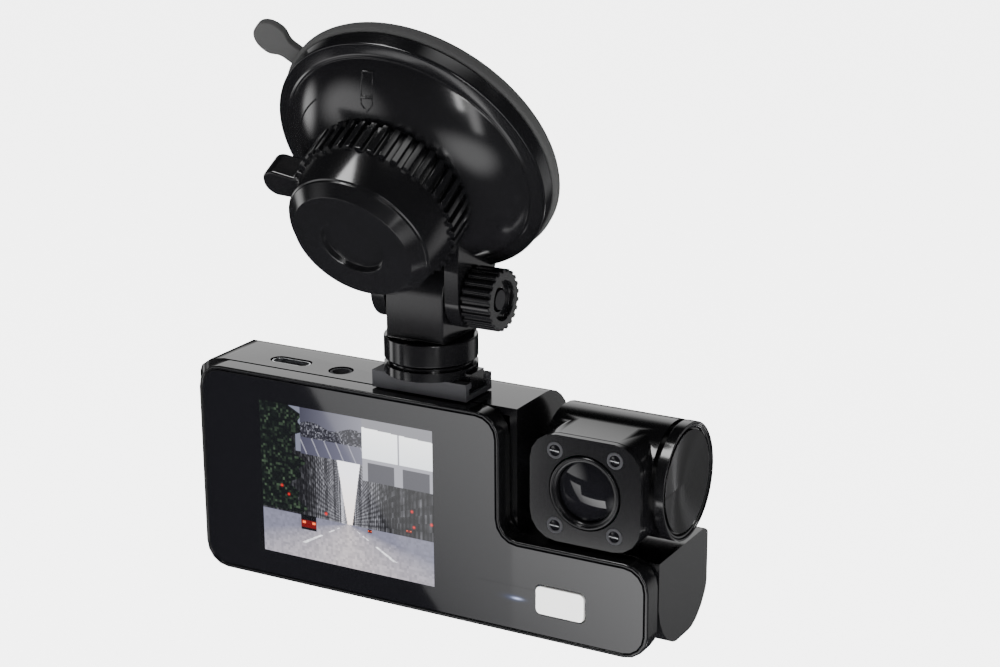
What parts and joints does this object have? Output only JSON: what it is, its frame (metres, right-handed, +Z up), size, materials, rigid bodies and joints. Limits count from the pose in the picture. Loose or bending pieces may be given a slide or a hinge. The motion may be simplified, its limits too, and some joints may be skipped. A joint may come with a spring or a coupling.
{
  "type": "dash camera",
  "caption": "Dash camera on a suction cup mount with a locking knob, tilt clamp and swivel, a flat body with a display, and a cabin camera on a turning barrel.",
  "frame": {"origin": "middle of the suction cup's flat face, where it meets the windscreen", "axes": "+Z up with the camera body level, -Y out of the display towards the driver, +X to the driver's right, +Y towards the windscreen"},
  "size_m": [0.109, 0.0564, 0.1204],
  "materials": {
    "gloss_black": "polished injection-moulded black plastic",
    "satin_black": "satin moulded black plastic",
    "soft_black": "smooth soft black rubber-like plastic",
    "dark_glass": "black-backed polished glass",
    "screen": "lit liquid crystal panel",
    "white_key": "glossy white key cap",
    "blue_light": "translucent blue light guide",
    "steel": "plated steel",
    "brass": "machined brass insert",
    "brushed_disc": "dark aluminium, turned with fine concentric lines",
    "board_green": "glass-fibre circuit board with green resist",
    "chip": "moulded black package",
    "cell": "foil-wrapped cell",
    "flex": "amber flexible circuit"
  },
  "bodies": {
    "suction_mount": {"cup_housing": "gloss_black", "suction_pad": "soft_black", "release_spring": "steel", "clamp_bolt": "steel"},
    "lock_knob": {"lock_knob": "gloss_black"},
    "plunger": {"plunger_stem": "satin_black", "cross_pin": "steel"},
    "clamp_knob": {"clamp_knob": "gloss_black", "clamp_nut": "brass"},
    "swivel_post": {"swivel_post": "gloss_black", "swivel_screw": "steel"},
    "mount_foot": {"mount_foot": "gloss_black", "friction_washer": "satin_black"},
    "camera_body": {"front_bezel": "gloss_black", "front_glass": "dark_glass", "display_panel": "screen", "display_ribbon": "flex", "rear_housing": "gloss_black", "mount_rail": "satin_black", "main_board": "board_green", "processor_chip": "chip", "memory_chip": "chip", "microphone": "steel", "card_socket": "steel", "usb_c_shell": "steel", "usb_c_tongue": "satin_black", "av_jack": "satin_black", "battery": "cell", "speaker": "chip", "button_board": "flex", "button_switch": "steel", "status_light": "blue_light", "case_screw_1": "steel", "case_screw_2": "steel", "case_screw_3": "steel", "case_screw_4": "steel", "rail_screw_1": "steel", "rail_screw_2": "steel", "road_lens_barrel": "satin_black", "road_lens_ring": "steel", "road_lens": "dark_glass", "road_sensor_board": "board_green"},
    "power_button": {"power_button": "white_key"},
    "cabin_camera": {"cabin_housing": "gloss_black", "cabin_face_plate": "gloss_black", "cabin_lens_ring": "satin_black", "cabin_lens": "dark_glass", "cabin_infrared_led_1": "steel", "cabin_infrared_led_2": "steel", "cabin_infrared_led_3": "steel", "cabin_infrared_led_4": "steel", "cabin_end_ring": "gloss_black", "cabin_end_disc": "brushed_disc", "cabin_axle": "satin_black", "cabin_sensor_board": "board_green"}
  },
  "joints": [
    {"name": "lock_turn", "type": "hinge", "parent": "suction_mount", "child": "lock_knob", "pos_m": [0, 0, 0], "axis": [0, 0.8625, 0.506], "range_deg": [0, 90]},
    {"name": "plunger_pull", "type": "slide", "parent": "suction_mount", "child": "plunger", "axis": [0, -0.8625, -0.506], "range_m": [0, 0.0016]},
    {"name": "clamp_turn", "type": "hinge", "parent": "suction_mount", "child": "clamp_knob", "pos_m": [0, 0.00173, -0.02991], "axis": [1, 0, 0], "range_deg": [0, 360]},
    {"name": "mount_tilt", "type": "hinge", "parent": "suction_mount", "child": "swivel_post", "pos_m": [0, 0.00173, -0.02991], "axis": [1, 0, 0], "range_deg": [-45, 35]},
    {"name": "mount_swivel", "type": "hinge", "parent": "swivel_post", "child": "mount_foot", "pos_m": [0, 0.00173, -0.04421], "axis": [0, 0, 1], "range_deg": [-180, 180]},
    {"name": "rail_slide", "type": "slide", "parent": "mount_foot", "child": "camera_body", "axis": [-1, 0, 0], "range_m": [0, 0.014]},
    {"name": "power_press", "type": "slide", "parent": "camera_body", "child": "power_button", "axis": [0, 1, 0], "range_m": [0, 0.0004], "stiffness_N_per_m": 300, "springref_m": -0.001},
    {"name": "cabin_camera_tilt", "type": "hinge", "parent": "camera_body", "child": "cabin_camera", "pos_m": [0.037, 0.01034, -0.06331], "axis": [-1, 0, 0], "range_deg": [0, 90]}
  ],
  "couplings": [
    {"joint": "lock_turn", "follows": "plunger_pull", "rad_per_m": 981.75}
  ]
}
